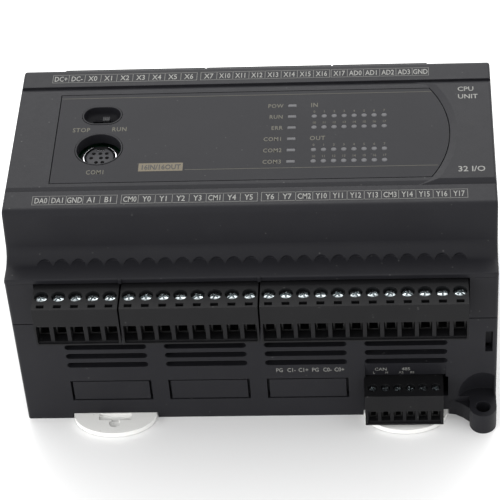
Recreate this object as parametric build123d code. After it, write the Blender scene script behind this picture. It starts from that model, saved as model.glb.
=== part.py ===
from build123d import *
import os

# Compact programmable controller lying on its rail side, millimetres.
# +X runs along the width, +Y towards the upper (input) terminals, +Z out of the front panel.
# The origin is the centre of the back plane, where the module meets its mounting plate.

# ---- Casing ----
CASE_W = 146.0          # overall width of the three shells
CASE_D = 90.0           # depth between the two long walls
WALL = 2.4
FLOOR_Z = 4.4           # top of the base floor outside the rail channel
BASE_TOP = 41.9         # seam between base and middle frame
SEAM = 0.35             # open shadow line left between two shells
SEAM_INSET = 0.8        # depth of that shadow line
LIP_Z0 = 59.25          # underside of the ledge over the terminals
LIP_Z1 = 60.85          # top of that ledge
LIP_Y = 45.3
STRIP_Z = 77.15         # label strips along both long edges
PLATEAU_Z = 76.85       # central field with the front panel
FOOT_Z = 76.35          # foot of the shallow bevel round the central field
END_Z = 77.35           # raised right-hand end of the field
FOOT_Y = 24.3
PLATEAU_Y = 22.0
FOLD_Y = 33.0           # where the strip plane meets the sloping flank
FLANK_Y = 35.72         # where the flank meets the ledge plane
FOLD_R = 2.0
FLANK_R = 4.8
LIP_R = 0.4
END_R = 0.9             # rounding of the cover's two ends
COVER_ROOF = 73.35      # underside of the top cover's roof

# ---- DIN rail fixing ----
CHANNEL_Y = 17.7        # half width of the channel for a 35 mm rail
CHANNEL_Z = 5.0
CHANNEL_ROOF = 7.2
LATCH_X = 45.3
LATCH_HALF = 13.05
LATCH_CLEAR = 0.3
TAB_DEPTH = 8.8         # how far the finger tab stands out of the wall
LATCH_TRAVEL = 4.0
POCKET_Z = 2.2
NOSE_Z = 3.8

# ---- Mounting ears, one at each of two opposite corners ----
EAR_X = 68.9
EAR_Y = 49.3
EAR_R = 4.1
EAR_H = 7.8
EAR_HOLE_R = 2.25
SCOOP = (8.9, 8.0, 12.5)  # half axes of the hollow above the ear

# ---- Corner windows that take the cover's snap hooks ----
SNAP_X = (69.4, 71.6)

# ---- Vents and blanked ports ----
BAY_PITCH = 30.38
VENT_L = 25.0
VENT_H = 2.2
VENT_ROWS = (24.0, 27.9, 31.8)
BLANK_W = 25.1
BLANK_Z = (8.1, 16.9)
BLANK_SIDE_GAP = 0.75
BLANK_GAP = 0.5
BLANK_SHIFT = 0.15

# ---- Pluggable terminal blocks ----
PITCH = 5.08
BLOCK_GAP = 0.55
LOWER_POLES = (5, 8, 12)
UPPER_POLES = (9, 8, 6)
BLOCK_X0 = -64.05       # left end of both rows
PLUG_FRONT = 55.5
PLUG_STEP = 43.3        # where the body steps down to its tongue
PLUG_BACK = 36.6
PLUG_Z = (43.65, 58.5)
TONGUE_Z = (45.3, 52.3)
WINDOW = (44.75, 50.85, 3.9)        # bottom, top and width of a wire opening
SCREW_Y = 49.8
SCREW_TOP = 57.9
DRIVER_HOLE_R = 2.1
BAY_LEFT = 0.3          # play between a row of plugs and the ends of its bay
BAY_RIGHT = 0.45

# ---- Communication plug in the lower wall ----
COMM_PITCH = 3.81
COMM_POLES = 6
COMM_X = 44.8
COMM_L = 23.9
COMM_FRONT = 52.6
COMM_STEP = 42.0
COMM_BACK = 36.2
COMM_Z = (3.55, 16.4)
COMM_TONGUE_Z = (4.9, 10.7)
COMM_WINDOW = (4.85, 8.95, 2.75)
COMM_SCREW_Y = 48.9
COMM_SCREW_TOP = 16.1
COMM_DRIVER_HOLE_R = 1.5
RECESS_X = (33.0, 57.5) # sloping recess above the plug
RECESS_TOP = 23.1
RECESS_DEPTH = 1.0
SIDE_SLOT_X = 58.3      # narrow slot beside the plug
SIDE_SLOT_Z = 8.2

# ---- Circuit boards ----
BOARD_T = 1.6
POWER_Z = 12.4
IO_Z = 42.4
CPU_Z = 66.75
POST_X = 61.5           # corner posts under the terminal board
POST_Y = 25.2
POST_HALF = 3.5
PILOT_R = 1.25          # pilot holes for the board screws
LOW_POST_X = 24.0       # posts under the power board
LOW_POST_Y = 30.0
CPU_POST_X = 61.0       # spacers between the two upper boards
CPU_POST_Y = 16.0

# ---- Front panel ----
PANEL_X0 = -60.1
PANEL_Y = 20.6
PANEL_T = 1.5
PANEL_GAP = 0.25
ARC_X = 20.5            # centre of the panel's curved right edge
ARC_R = 39.4
CRESCENT = 2.2          # width of the dished bevel beyond that edge
SWITCH_X = -46.5
SWITCH_Y = 10.5
SWITCH_TOP = 71.6
KNOB_X = -45.4
KNOB_TOP = 75.6
BOWL = (11.4, 7.7)      # capsule-shaped finger bowl round the knob
BOWL_FLOOR = 73.1
BOWL_BOSS = 72.0        # underside of the boss that carries the bowl
COLLAR = 0.4            # thin rims that stand in the panel's two openings
COLLAR_GAP = 0.15
COM_X = -46.3
COM_Y = -5.2
COM_HOLE_R = 6.8
COM_SHELL_R = 5.1
COM_SHELL_TOP = 73.75
COM_INSERT_R = 4.1
COM_INSERT_TOP = 73.55
COM_BODY_TOP = 72.3
STATUS_X = 12.0
LED_X0 = 18.8
LED_DX = 3.04
ROW_DY = 5.17
ROW_Y0 = 13.4
LENS_R = 0.85
LENS_TOP = PLATEAU_Z + 0.05

HALF_W = CASE_W / 2
HALF_D = CASE_D / 2


def block(x0, x1, y0, y1, z0, z1):
    """Box between two corners."""
    size = Box(abs(x1 - x0), abs(y1 - y0), abs(z1 - z0))
    return Pos((x0 + x1) / 2, (y0 + y1) / 2, (z0 + z1) / 2) * size


def rod(x, y, z0, z1, r):
    """Upright cylinder."""
    return Pos(x, y, (z0 + z1) / 2) * Cylinder(r, z1 - z0)


def along_x(points, x0, x1):
    """Prism along X from an outline in the YZ plane."""
    face = Plane.YZ.offset(x0) * Polygon(*points, align=None)
    return extrude(face, amount=x1 - x0, dir=(1, 0, 0))


def both_sides(points):
    """Outline symmetric about Z from its +Y half, listed from the top centre outwards."""
    return points + [(-y, z) for y, z in reversed(points)]


def mirrored_y(shape):
    """The same shape on the other long side."""
    return mirror(shape, about=Plane.XZ)


def turned(shape):
    """The same shape at the diagonally opposite corner."""
    return Rot(0, 0, 180) * shape


def save(name, shape):
    """Write one node that is a single body."""
    whole = shape if isinstance(shape, Compound) else Compound(children=[shape])
    export_step(whole, f"parts/{name}.step")


def save_group(name, solids):
    """Write several separate solids as one node."""
    export_step(Compound(children=list(solids)), f"parts/{name}.step")


def row_starts(poles):
    """Left end of each block in a row of blocks."""
    starts = []
    x = BLOCK_X0
    for count in poles:
        starts.append(x)
        x += count * PITCH + BLOCK_GAP
    return starts


def vent_centres():
    """X centres of the four vent groups."""
    return [BAY_PITCH * (k - 1.5) for k in range(4)]


def blank_centres():
    """X centres of the three blanked port openings."""
    return [x + BLANK_SHIFT for x in vent_centres()[:3]]


def vent_slots():
    """Cutters for one long wall's vent slots."""
    slots = []
    for x in vent_centres():
        for z in VENT_ROWS:
            outline = Pos(x, -HALF_D + WALL / 2, z) * Rot(90, 0, 0) * SlotOverall(VENT_L, VENT_H)
            slots.append(extrude(outline, amount=WALL, both=True))
    return slots


def ear():
    """Screw ear at the lower right corner, with the web that blends it into the wall."""
    body = rod(EAR_X, -EAR_Y, 0, EAR_H, EAR_R)
    body += block(EAR_X - EAR_R, HALF_W, -EAR_Y, -HALF_D + 1, 0, EAR_H)
    web = Polyline((58.6, -HALF_D + 1), (58.6, -HALF_D), (60.6, -45.3), (62.8, -46.6), (EAR_X - EAR_R, -48.4),
                   (EAR_X - EAR_R + 2, -HALF_D + 1), (58.6, -HALF_D + 1))
    return body + extrude(make_face(web), amount=EAR_H - 1.8)


def ear_cuts():
    """Screw hole and the soft hollow in the wall above it."""
    hole = rod(EAR_X, -EAR_Y, -1, EAR_H + 1, EAR_HOLE_R)
    hollow = scale(Sphere(1.0), by=SCOOP)
    keep = block(EAR_X - 10, HALF_W - 0.6, -EAR_Y - 9, -HALF_D + 4, EAR_H, 30)
    return hole + (Pos(EAR_X, -EAR_Y, EAR_H) * hollow & keep)


def make_base():
    """Lower shell: walls, ribbed floor, rail channel, latch pockets, posts and ears."""
    body = block(-HALF_W, HALF_W, -HALF_D, HALF_D, 0, BASE_TOP)
    body = fillet(body.edges().filter_by(Axis.Z), 0.9)
    rim = block(-HALF_W + SEAM_INSET, HALF_W - SEAM_INSET, -HALF_D + SEAM_INSET, HALF_D - SEAM_INSET,
                BASE_TOP, BASE_TOP + SEAM)
    body += rim
    inner_x = HALF_W - WALL
    inner_y = HALF_D - WALL
    body -= block(-inner_x, inner_x, -inner_y, -27, FLOOR_Z, 60)
    body -= block(-inner_x, inner_x, 27, inner_y, FLOOR_Z, 60)
    body -= block(-inner_x, inner_x, -27.1, 27.1, CHANNEL_ROOF, 60)
    body += ear() + turned(ear())
    for x, y in corners(POST_X, POST_Y):
        body += block(x - POST_HALF, x + POST_HALF, y - POST_HALF, y + POST_HALF, FLOOR_Z - 0.5, IO_Z)
        body -= rod(x, y, IO_Z - 8, IO_Z + 1, PILOT_R)
    for x, y in corners(LOW_POST_X, LOW_POST_Y):
        body += rod(x, y, FLOOR_Z - 0.5, POWER_Z, 3.0)
        body -= rod(x, y, POWER_Z - 5.5, POWER_Z + 1, PILOT_R)
    thick = block(EAR_X - 7.5, inner_x + 0.1, -inner_y - 0.1, -inner_y + 2.8, FLOOR_Z - 0.1, 22)
    body += thick + turned(thick)
    body -= ear_cuts() + turned(ear_cuts())

    # Rail channel, open at both ends, with fixed hooks on the upper side.
    body -= block(-HALF_W - 1, HALF_W + 1, -CHANNEL_Y, CHANNEL_Y, -1, CHANNEL_Z)
    for x in (-LATCH_X, LATCH_X):
        hook = [(CHANNEL_Y + 0.1, 1.8), (CHANNEL_Y - 1.3, 2.4), (CHANNEL_Y - 1.3, NOSE_Z),
                (CHANNEL_Y + 0.1, NOSE_Z)]
        body += along_x(hook, x - 10, x + 10)

    # Guide pocket, nose clearance, wall notch and stop pin of each latch.
    for x in (-LATCH_X, LATCH_X):
        body -= block(x - 12.3, x + 12.3, -HALF_D - 1, -CHANNEL_Y + 0.1, -1, POCKET_Z)
        half = LATCH_HALF + LATCH_CLEAR
        body -= block(x - half, x + half, -HALF_D + WALL, -CHANNEL_Y + 0.1, 0.8, POCKET_Z)
        body -= block(x - half, x + half, -HALF_D - 1, -HALF_D + WALL + 0.1, -1, POCKET_Z)
        body -= block(x - 12.3, x + 12.3, -25.2, -CHANNEL_Y + 0.1, POCKET_Z - 0.1, NOSE_Z + 0.3)
        body += rod(x, -31.0, 0.6, POCKET_Z + 0.1, 1.2)

    # Moulding pockets that keep the floor ribbed underneath.
    for x0, x1 in ((-27, -2), (2, 27)):
        body -= block(x0, x1, -HALF_D + 3.5, -CHANNEL_Y - 3.5, -1, POCKET_Z)
    for x0, x1 in ((-62, -33), (-29, -2), (2, 29), (33, 69)):
        body -= block(x0, x1, CHANNEL_Y + 3.5, HALF_D - 3.5, -1, POCKET_Z)

    for slot in vent_slots():
        body -= slot
        body -= mirrored_y(slot)
    for x in blank_centres():
        body -= block(x - BLANK_W / 2, x + BLANK_W / 2, -HALF_D - 1, -inner_y + 1, *BLANK_Z)

    # Opening for the communication plug, with a narrow slot beside it and a sloping recess above it.
    left = COMM_X - COMM_L / 2 - 0.2
    right = COMM_X + COMM_L / 2 + 0.2
    top = COMM_Z[1] + 0.5
    body += block(RECESS_X[0] - 1.4, SIDE_SLOT_X + 1.4, -inner_y - 0.1, -inner_y + 2.4, top, RECESS_TOP - 0.4)
    body -= block(left, right, -HALF_D - 1, -inner_y + 0.1, COMM_Z[0] - 0.25, top)
    body -= block(right - 1, SIDE_SLOT_X, -HALF_D - 1, -inner_y + 0.1, SIDE_SLOT_Z, top)
    slope = [(-HALF_D, RECESS_TOP), (-HALF_D + RECESS_DEPTH, top), (-HALF_D + RECESS_DEPTH, top - 0.1),
             (-HALF_D - 1, top - 0.1), (-HALF_D - 1, RECESS_TOP)]
    body -= along_x(slope, *RECESS_X)
    body -= block(left, right, -inner_y - 0.1, -33.2, COMM_Z[0] - 0.25, FLOOR_Z + 1)

    # Corner windows for the cover's snap hooks.
    window = block(SNAP_X[0], SNAP_X[1], -HALF_D - 1, -38.5, 27.7, 36.3)
    return body - window - turned(window)


def row_openings():
    """X extents of the lower and the upper terminal opening."""
    left = BLOCK_X0 - BAY_LEFT
    lower = BLOCK_X0 + sum(LOWER_POLES) * PITCH + 2 * BLOCK_GAP
    upper = BLOCK_X0 + sum(UPPER_POLES) * PITCH + 2 * BLOCK_GAP
    return (left, lower + BAY_RIGHT), (left, upper + BAY_RIGHT)


def make_middle_frame():
    """Frame round the terminal bays: end walls, bay partitions and bay end walls."""
    z0 = BASE_TOP + SEAM
    z1 = LIP_Z0 - SEAM
    body = block(-HALF_W, HALF_W, -HALF_D, HALF_D, z0, z1)
    body = fillet(body.edges().filter_by(Axis.Z), 0.9)
    body += block(-HALF_W + SEAM_INSET, HALF_W - SEAM_INSET, -HALF_D + SEAM_INSET, HALF_D - SEAM_INSET,
                  z1, LIP_Z0)
    inner_x = HALF_W - WALL
    body -= block(-inner_x, inner_x, -28.4, 28.4, 0, 70)
    for sy, (x0, x1) in zip((-1, 1), row_openings()):
        body -= block(x0, x1, sy * 29.8, sy * 60, 0, 70)
        body -= block(-inner_x, inner_x, sy * 28.3, sy * 42.6, 0, IO_Z + BOARD_T + 0.3)
        for xa, xb in ((-inner_x, x0 - 1.4), (x1 + 1.4, inner_x)):
            body -= block(xa, xb, sy * 29.8, sy * (HALF_D - WALL), 0, 70)
    return body


def panel_outline(inset):
    """Outline of the front panel: straight on the left, an arc on the right."""
    right = Pos(ARC_X, 0) * Circle(ARC_R - inset)
    middle = Pos((PANEL_X0 + inset + ARC_X) / 2, 0) * Rectangle(ARC_X - PANEL_X0 - inset, 2 * ARC_R)
    field = Pos(0, 0) * Rectangle(4 * ARC_R, 2 * (PANEL_Y - inset))
    return (right + middle) & field


def led_rows():
    """Y of the six indicator rows."""
    return [ROW_Y0 - ROW_DY * k for k in range(6)]


def led_grid(rows):
    """Centres of the eight round indicators in each of the given rows."""
    return [(LED_X0 + LED_DX * k, led_rows()[row]) for row in rows for k in range(8)]


def capsule(length, width, z0, z1):
    """Upright prism with a capsule outline, centred on the run switch."""
    outline = Plane.XY.offset(z0) * (Pos(SWITCH_X, SWITCH_Y) * SlotOverall(length, width))
    return extrude(outline, amount=z1 - z0)


def make_cover():
    """Top shell: ogee flanks, label strips, dished field, panel pocket and snap hooks."""
    outline = [(FOLD_Y, STRIP_Z), (FLANK_Y, LIP_Z1), (LIP_Y, LIP_Z1), (LIP_Y, LIP_Z0)]
    profile = Polygon(*both_sides(outline), align=None)
    for y, z, radius in ((FOLD_Y, STRIP_Z, FOLD_R), (FLANK_Y, LIP_Z1, FLANK_R), (LIP_Y, LIP_Z1, LIP_R)):
        sharp = [v for v in profile.vertices() if abs(abs(v.X) - y) < 0.01 and abs(v.Y - z) < 0.01]
        profile = fillet(sharp, radius)
    body = extrude(Plane.YZ * profile, amount=HALF_W, both=True)
    ends = [e for e in body.edges() if abs(e.center().X) > HALF_W - 0.01 and e.center().Z > LIP_Z1 - 0.1]
    body = fillet(ends, END_R)

    # Central field between the label strips, with a shallow bevel along both long edges.
    field = [(PLATEAU_Y, PLATEAU_Z), (FOOT_Y, FOOT_Z), (FOOT_Y, 80)]
    body -= along_x(both_sides(field), -HALF_W - 1, HALF_W + 1)

    # Raised end of the field, dished along an arc.
    end = along_x(both_sides([(21.7, END_Z), (FOOT_Y, FOOT_Z), (FOOT_Y, 75.0)]), 46, HALF_W - 0.1)
    end = fillet(end.edges().filter_by(Axis.Y).sort_by(Axis.X)[-1], 0.8)
    slope = CRESCENT / (END_Z - PLATEAU_Z)
    dish = Pos(ARC_X, 0, PLATEAU_Z) * Cone(ARC_R - 1.5 * slope, ARC_R + 1.5 * slope, 3.0)
    body += end - dish

    cavity = [(30.8, COVER_ROOF), (32.6, LIP_Z0 - 1)]
    body -= along_x(both_sides(cavity), -HALF_W + WALL, HALF_W - WALL)

    # Half-round driver clearances along both ledges, and the marks between blocks.
    for side, poles in ((-1, LOWER_POLES), (1, UPPER_POLES)):
        for start, count in zip(row_starts(poles), poles):
            for k in range(count):
                body -= rod(start + PITCH * (k + 0.5) + 0.2, side * 39.3, LIP_Z1, LIP_Z1 + 6, 2.25)
        for start in row_starts(poles)[1:]:
            x = start - BLOCK_GAP / 2
            body += block(x - 0.4, x + 0.4, side * (LIP_Y - 0.5), side * (LIP_Y + 0.5), LIP_Z0, LIP_Z1)

    # Pocket and windows for the front panel.
    body -= extrude(Plane.XY.offset(PLATEAU_Z - PANEL_T) * panel_outline(0), amount=8)
    body += capsule(BOWL[0] + 2 * COLLAR, BOWL[1] + 2 * COLLAR, BOWL_BOSS, PLATEAU_Z + 0.1)
    bowl = capsule(*BOWL, BOWL_FLOOR, PLATEAU_Z + 1)
    body -= fillet(bowl.faces().sort_by(Axis.Z)[0].edges(), 2.0)
    body -= block(SWITCH_X - 3.4, SWITCH_X + 3.4, SWITCH_Y - 1.5, SWITCH_Y + 1.5, BOWL_BOSS - 1, PLATEAU_Z)
    body += rod(COM_X, COM_Y, COVER_ROOF, PLATEAU_Z + 0.1, COM_HOLE_R + COLLAR)
    body -= rod(COM_X, COM_Y, COVER_ROOF - 1, PLATEAU_Z + 1, COM_HOLE_R)
    rows = led_rows()
    body -= block(STATUS_X - 1.8, STATUS_X + 1.8, rows[5] - 1.2, rows[0] + 1.2, COVER_ROOF - 1, PLATEAU_Z)
    for first, last in ((1, 2), (4, 5)):
        body -= block(LED_X0 - 1.4, LED_X0 + 7 * LED_DX + 1.4, rows[last] - 1.3, rows[first] + 1.3,
                      COVER_ROOF - 1, PLATEAU_Z)

    hook = block(68.2, 70.3, -42.2, -36.5, 28.6, LIP_Z0 + 0.1)
    hook += block(70.2, SNAP_X[1] - 0.2, -42.2, -39.0, 28.6, 35.4)
    return body + hook + turned(hook)


def make_panel():
    """Printed front panel with its switch, port and indicator openings."""
    z0 = PLATEAU_Z - PANEL_T
    body = extrude(Plane.XY.offset(z0) * panel_outline(PANEL_GAP), amount=PANEL_T)
    body = body.clean()
    rim = COLLAR + COLLAR_GAP
    body -= capsule(BOWL[0] + 2 * rim, BOWL[1] + 2 * rim, z0 - 1, PLATEAU_Z + 1)
    body -= rod(COM_X, COM_Y, z0 - 1, PLATEAU_Z + 1, COM_HOLE_R + rim)
    for y in led_rows():
        body -= block(STATUS_X - 1.3, STATUS_X + 1.3, y - 0.65, y + 0.65, z0 - 1, PLATEAU_Z + 1)
    for x, y in led_grid((1, 2, 4, 5)):
        body -= rod(x, y, z0 - 1, PLATEAU_Z + 1, LENS_R)
    return body


def plug_body(length, poles, pitch, z0, z1, front, step, back, window, hole_r, screw_y, tongue, slots):
    """Plug housing along X from 0 to length, on the lower side."""
    body = block(0, length, -front, -step, z0, z1)
    body += block(1.15, length - 1.15, -step - 0.1, -back, *tongue)
    body -= block(0.7, length - 0.7, -front - 1, -front + 0.6, z0 + 0.6, window[1] + 0.85)
    margin = (length - poles * pitch) / 2
    half_w = window[2] / 2
    for k in range(poles):
        x = margin + pitch * (k + 0.5)
        body -= block(x - half_w, x + half_w, -front - 1, -front + 8.2, window[0], window[1])
        body -= rod(x, -screw_y, window[1] - 0.1, z1 - 2.6, hole_r - 0.45)
        body -= rod(x, -screw_y, z1 - 2.6, z1 + 1, hole_r)
        body -= block(x - 0.75, x + 0.75, -step - 1, -back + 1, (tongue[0] + tongue[1]) / 2 - 0.75,
                      (tongue[0] + tongue[1]) / 2 + 0.75)
        if slots:
            body -= block(x - 1.15, x + 1.15, -front + 0.85, -front + 2.1, z1 - 2, z1 + 1)
    return body


def terminal_screw(x, y, z1, head_r, head_h, shank_r, z_tip, angle):
    """Slotted terminal screw whose head top is at z1."""
    body = rod(x, y, z1 - head_h, z1, head_r) + rod(x, y, z_tip, z1 - head_h + 0.1, shank_r)
    slot = Pos(x, y, z1) * Rot(0, 0, angle) * Box(3 * head_r, head_r * 0.32, head_h)
    return body - slot


def clamp(x, y0, y1, z0, z1, half_w, bore_r, screw_y):
    """Wire clamp: a square metal cage, open at both ends, with the screw's hole on top."""
    body = block(x - half_w, x + half_w, y0, y1, z0, z1)
    body -= block(x - half_w + 0.5, x + half_w - 0.5, y0 - 1, y1 + 1, z0 + 0.6, z1 - 0.8)
    return body - rod(x, screw_y, z1 - 1, z1 + 1, bore_r)


def header_body(length, poles, pitch, z0, z1, step, back, tongue):
    """Socket that takes a plug's tongue, along X from 0 to length, on the lower side."""
    body = block(0.1, length - 0.1, -step + 0.3, -back, z0, z1)
    body -= block(0.95, length - 0.95, -step - 1, -back + 3.2, tongue[0] - 0.2, tongue[1] + 0.2)
    margin = (length - poles * pitch) / 2
    mid = (tongue[0] + tongue[1]) / 2
    for k in range(poles):
        x = margin + pitch * (k + 0.5)
        body -= block(x - 0.5, x + 0.5, -step, -back + 5, mid - 0.5, mid + 0.5)
    return body


def header_pin(x, tip, bend, mid, tail):
    """Square pin: straight out of the header, then bent to the board."""
    low = min(tail, mid - 0.48)
    high = max(tail, mid + 0.48)
    return block(x - 0.48, x + 0.48, -tip, -bend, mid - 0.48, mid + 0.48) + block(
        x - 0.48, x + 0.48, -bend - 0.96, -bend, low, high)


def terminal_rows():
    """Every pluggable block, its screws, its clamps, its header and the header pins."""
    pins = {"lower": [], "upper": []}
    for row, poles, flip in (("lower", LOWER_POLES, False), ("upper", UPPER_POLES, True)):
        for tag, start, count in zip("abc", row_starts(poles), poles):
            side = mirrored_y if flip else (lambda shape: shape)
            length = count * PITCH
            plug = plug_body(length, count, PITCH, *PLUG_Z, PLUG_FRONT, PLUG_STEP, PLUG_BACK, WINDOW,
                             DRIVER_HOLE_R, SCREW_Y, TONGUE_Z, True)
            save(f"plug_{row}_{tag}", side(Pos(start, 0, 0) * plug))
            header = header_body(length, count, PITCH, IO_Z + BOARD_T, 53.6, PLUG_STEP, 33.0, TONGUE_Z)
            save(f"header_{row}_{tag}", side(Pos(start, 0, 0) * header))
            xs = [start + PITCH * (k + 0.5) for k in range(count)]
            angles = [137.5 * (n + 3 * count) for n in range(count)]
            screws = [terminal_screw(x, -SCREW_Y, SCREW_TOP, 1.92, 1.6, 1.4, 49.7, angle)
                      for x, angle in zip(xs, angles)]
            save_group(f"plug_{row}_{tag}_screws", [side(s) for s in screws])
            clamps = [clamp(x, -52.0, -47.4, WINDOW[0] + 0.15, WINDOW[1] - 0.2, 1.75, 1.5, -SCREW_Y)
                      for x in xs]
            save_group(f"plug_{row}_{tag}_clamps", [side(c) for c in clamps])
            mid = sum(TONGUE_Z) / 2
            pins[row] += [side(header_pin(x, 41.0, 31.4, mid, IO_Z - 0.8)) for x in xs]
    save_group("header_pins_lower", pins["lower"])
    save_group("header_pins_upper", pins["upper"])


def comm_block():
    """Communication plug with its screws, clamps, header and pins."""
    start = COMM_X - COMM_L / 2
    xs = [COMM_X + COMM_PITCH * (k - 2.5) for k in range(COMM_POLES)]
    plug = plug_body(COMM_L, COMM_POLES, COMM_PITCH, *COMM_Z, COMM_FRONT, COMM_STEP, COMM_BACK,
                     COMM_WINDOW, COMM_DRIVER_HOLE_R, COMM_SCREW_Y, COMM_TONGUE_Z, False)
    save("plug_comm", Pos(start, 0, 0) * plug)
    header = header_body(COMM_L, COMM_POLES, COMM_PITCH, COMM_TONGUE_Z[0] - 0.9, POWER_Z, COMM_STEP, 33.5,
                         COMM_TONGUE_Z)
    save("header_comm", Pos(start, 0, 0) * header)
    screws = [terminal_screw(x, -COMM_SCREW_Y, COMM_SCREW_TOP, 1.35, 1.3, 1.0, 8.2, 71.0 * (n + 1))
              for n, x in enumerate(xs)]
    save_group("plug_comm_screws", screws)
    clamps = [clamp(x, -50.4, -46.8, COMM_WINDOW[0] + 0.1, COMM_WINDOW[1] - 0.15, 1.25, 1.1, -COMM_SCREW_Y)
              for x in xs]
    save_group("plug_comm_clamps", clamps)
    mid = sum(COMM_TONGUE_Z) / 2
    save_group("header_pins_comm", [header_pin(x, 40.2, 31.9, mid, POWER_Z + 2.4) for x in xs])


def make_latch(x):
    """Sliding rail latch: guided plate, sprung nose, travel slot and finger tab."""
    edge = -HALF_D + 0.4
    body = block(x - 11.9, x + 11.9, edge, -20.6, 0.2, 2.0)
    body += block(x - LATCH_HALF, x + LATCH_HALF, edge, -20.6, 1.0, 2.0)
    nose = [(-20.7, 0.2), (-18.6, 0.2), (-16.4, 2.2), (-16.4, NOSE_Z), (-20.7, NOSE_Z)]
    body += along_x(nose, x - 11.9, x + 11.9)
    tab = Pos(x, edge) * Ellipse(LATCH_HALF, TAB_DEPTH)
    tab &= Pos(x, edge - 6) * Rectangle(40, 12)
    body += extrude(Plane.XY.offset(0.2) * tab, amount=1.8)
    body -= block(x - 1.5, x + 1.5, -32.5, -25.5, -1, 3)
    body -= block(x - 5, x + 5, -47.7, -45.2, 0.9, 3)
    body -= rod(x, -49.0, 1.3, 3, 1.7)
    for side in (-1, 1):
        body -= block(x + side * 7.0, x + side * 9.0, -40.0, -24.5, -1, 3)
    return body


def make_switch():
    """Slide switch body, and its knob at the right-hand stop."""
    top = SWITCH_TOP
    body = block(SWITCH_X - 4.3, SWITCH_X + 4.3, SWITCH_Y - 1.9, SWITCH_Y + 1.9, CPU_Z + BOARD_T, top)
    body -= block(SWITCH_X - 2.6, SWITCH_X + 2.6, SWITCH_Y - 1.05, SWITCH_Y + 1.05, top - 1.5, top + 1)
    knob = block(KNOB_X - 1.0, KNOB_X + 1.0, SWITCH_Y - 0.85, SWITCH_Y + 0.85, top - 1.3, KNOB_TOP)
    for x in (KNOB_X - 0.55, KNOB_X, KNOB_X + 0.55):
        knob -= block(x - 0.15, x + 0.15, SWITCH_Y - 1, SWITCH_Y + 1, KNOB_TOP - 0.3, KNOB_TOP + 1)
    return body, knob


def make_com_port():
    """Round eight-pole programming socket: body, shield, insulator and contacts."""
    base = CPU_Z + BOARD_T
    seat = base + 1.0
    outer_r = COM_SHELL_R
    inner_r = COM_SHELL_R - 0.3
    body = rod(COM_X, COM_Y, base, COM_BODY_TOP, COM_HOLE_R - 0.35)
    body -= rod(COM_X, COM_Y, seat, COM_BODY_TOP + 1, outer_r + 0.1)
    shell = rod(COM_X, COM_Y, seat, COM_SHELL_TOP, outer_r)
    shell -= rod(COM_X, COM_Y, base, COM_SHELL_TOP + 1, inner_r)
    shell -= block(COM_X - 2.2, COM_X + 2.2, COM_Y + 4, COM_Y + 6, COM_SHELL_TOP - 1.6, COM_SHELL_TOP + 1)
    insulator = rod(COM_X, COM_Y, seat, COM_INSERT_TOP - 2.0, inner_r - 0.1)
    insulator += rod(COM_X, COM_Y, seat, COM_INSERT_TOP, COM_INSERT_R)
    insulator -= block(COM_X - 1.2, COM_X + 1.2, COM_Y + 2.9, COM_Y + 5,
                       COM_INSERT_TOP - 1.9, COM_INSERT_TOP + 1)
    places = [(-2.0, 1.7), (0.0, 1.7), (2.0, 1.7), (-2.6, -0.3), (0.4, -0.3), (2.2, -0.3),
              (-0.95, -2.3), (0.95, -2.3)]
    contacts = []
    for dx, dy in places:
        insulator -= rod(COM_X + dx, COM_Y + dy, seat + 0.4, COM_INSERT_TOP + 1, 0.6)
        contacts.append(rod(COM_X + dx, COM_Y + dy, seat + 0.4, COM_INSERT_TOP - 1.2, 0.48))
    return body, shell, insulator, contacts


def board(x0, x1, y0, y1, z, holes, hole_r):
    """Circuit board with its fixing holes."""
    body = block(x0, x1, y0, y1, z, z + BOARD_T)
    for x, y in holes:
        body -= rod(x, y, z - 1, z + BOARD_T + 1, hole_r)
    return body


def corners(x, y):
    """Four points symmetric about both axes."""
    return [(sx * x, sy * y) for sx in (-1, 1) for sy in (-1, 1)]


def board_screw(x, y, z):
    """Pan-head screw seated on a board's top face at z."""
    head = rod(x, y, z, z + 2.0, 2.8)
    cross = Box(3.4, 0.8, 2.0) + Box(0.8, 3.4, 2.0)
    return head + rod(x, y, z - 4.5, z + 0.1, 1.15) - Pos(x, y, z + 2.0) * cross


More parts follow.
